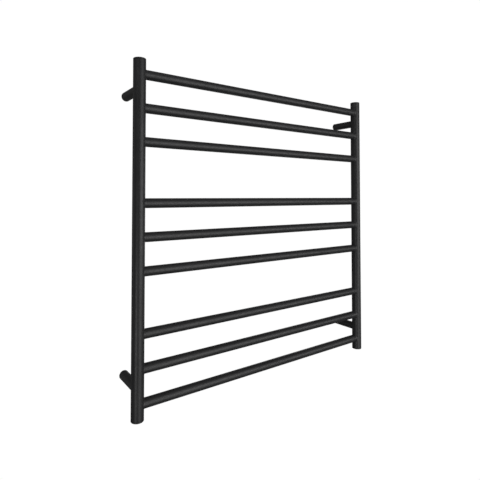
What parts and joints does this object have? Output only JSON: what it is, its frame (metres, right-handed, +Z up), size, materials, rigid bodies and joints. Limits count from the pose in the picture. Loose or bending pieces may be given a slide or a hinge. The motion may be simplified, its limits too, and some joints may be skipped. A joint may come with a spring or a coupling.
{
  "type": "towel warmer rack",
  "caption": "Wall-mounted electric ladder towel warmer of round black tube: two uprights, spaced groups of rungs and short tubular wall brackets.",
  "frame": {"origin": "middle of the four wall screws, in the wall plane", "axes": "+X to the right as a person faces the rack, +Y into the wall, +Z up"},
  "size_m": [0.86, 0.113, 0.894],
  "materials": {
    "black_powder_coat": "satin, fine powder texture",
    "black_cap": "satin, fine powder texture",
    "zinc_plated_steel": "bright zinc plate",
    "black_screw_steel": "black oxide",
    "cable_silicone": "matte silicone",
    "seal_rubber": "matte",
    "core_brown": "matte insulation",
    "core_blue": "matte insulation",
    "core_green": "matte insulation with a yellow stripe",
    "fuse_metal": "satin",
    "tinned_crimp": "tinned, satin",
    "tag_brass": "satin"
  },
  "bodies": {
    "root": {"left_upright": "black_powder_coat", "right_upright": "black_powder_coat", "rung_1": "black_powder_coat", "rung_2": "black_powder_coat", "rung_3": "black_powder_coat", "rung_4": "black_powder_coat", "rung_5": "black_powder_coat", "rung_6": "black_powder_coat", "rung_7": "black_powder_coat", "rung_8": "black_powder_coat", "rung_9": "black_powder_coat", "top_left_bracket_leg": "black_powder_coat", "top_right_bracket_leg": "black_powder_coat", "bottom_left_bracket_leg": "black_powder_coat", "bottom_right_bracket_leg": "black_powder_coat", "top_left_cap": "black_cap", "top_right_cap": "black_cap", "bottom_left_cap": "black_cap", "bottom_right_cap": "black_cap", "top_left_wall_boss": "zinc_plated_steel", "top_right_wall_boss": "zinc_plated_steel", "bottom_left_wall_boss": "zinc_plated_steel", "bottom_right_wall_boss": "zinc_plated_steel", "bracket_grub_screws": "black_screw_steel", "heating_cable": "cable_silicone", "cable_end_seal": "seal_rubber", "cold_end_plug": "seal_rubber", "live_core": "core_brown", "neutral_core": "core_blue", "earth_core": "core_green", "thermal_fuse": "fuse_metal", "crimp_sleeves": "tinned_crimp", "earth_tag": "tag_brass", "earth_screw": "zinc_plated_steel", "supply_grommet": "seal_rubber"}
  },
  "joints": []
}
